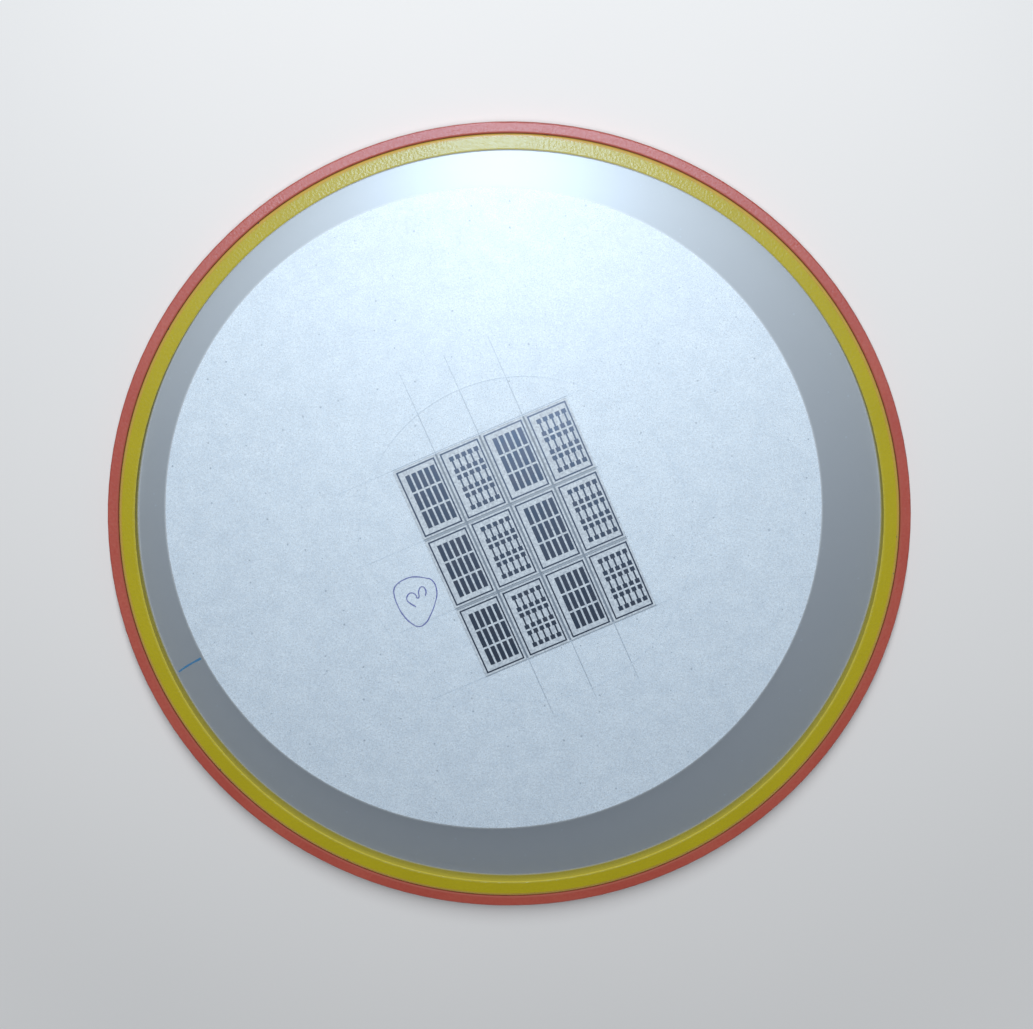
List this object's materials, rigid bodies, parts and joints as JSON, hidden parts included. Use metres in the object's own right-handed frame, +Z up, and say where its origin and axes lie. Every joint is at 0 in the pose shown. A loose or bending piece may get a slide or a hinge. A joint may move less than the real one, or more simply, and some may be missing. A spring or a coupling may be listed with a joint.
{
  "type": "mounted silicon wafer",
  "caption": "Diced silicon wafer on clear dicing film held between two grip rings; the dies carry bar and dumbbell test patterns.",
  "frame": {"origin": "on the axis of the grip rings, in the plane of their undersides", "axes": "+Z up through the film, from the rings' undersides to the dies; the columns of dies run along +Y turned 23.6 degrees anticlockwise, seen from above"},
  "size_m": [0.2383, 0.2384, 0.007],
  "materials": {
    "red_plastic": "glossy moulded red plastic",
    "yellow_plastic": "glossy moulded yellow plastic",
    "film": "clear, slightly hazy stretched film",
    "white_paper": "plain white lint-free paper",
    "silicon": "pale satin coated silicon",
    "pattern_metal": "dark mirror-smooth thin metal"
  },
  "bodies": {
    "root": {"outer_ring": "red_plastic", "inner_ring": "yellow_plastic", "dicing_film": "film", "backing_disc": "white_paper", "die_c1_r1": "silicon", "die_c2_r1": "silicon", "die_c3_r1": "silicon", "die_c4_r1": "silicon", "die_c1_r2": "silicon", "die_c2_r2": "silicon", "die_c3_r2": "silicon", "die_c4_r2": "silicon", "die_c1_r3": "silicon", "die_c2_r3": "silicon", "die_c3_r3": "silicon", "die_c4_r3": "silicon", "metal_c1_r1": "pattern_metal", "metal_c2_r1": "pattern_metal", "metal_c3_r1": "pattern_metal", "metal_c4_r1": "pattern_metal", "metal_c1_r2": "pattern_metal", "metal_c2_r2": "pattern_metal", "metal_c3_r2": "pattern_metal", "metal_c4_r2": "pattern_metal", "metal_c1_r3": "pattern_metal", "metal_c2_r3": "pattern_metal", "metal_c3_r3": "pattern_metal", "metal_c4_r3": "pattern_metal"}
  },
  "joints": []
}
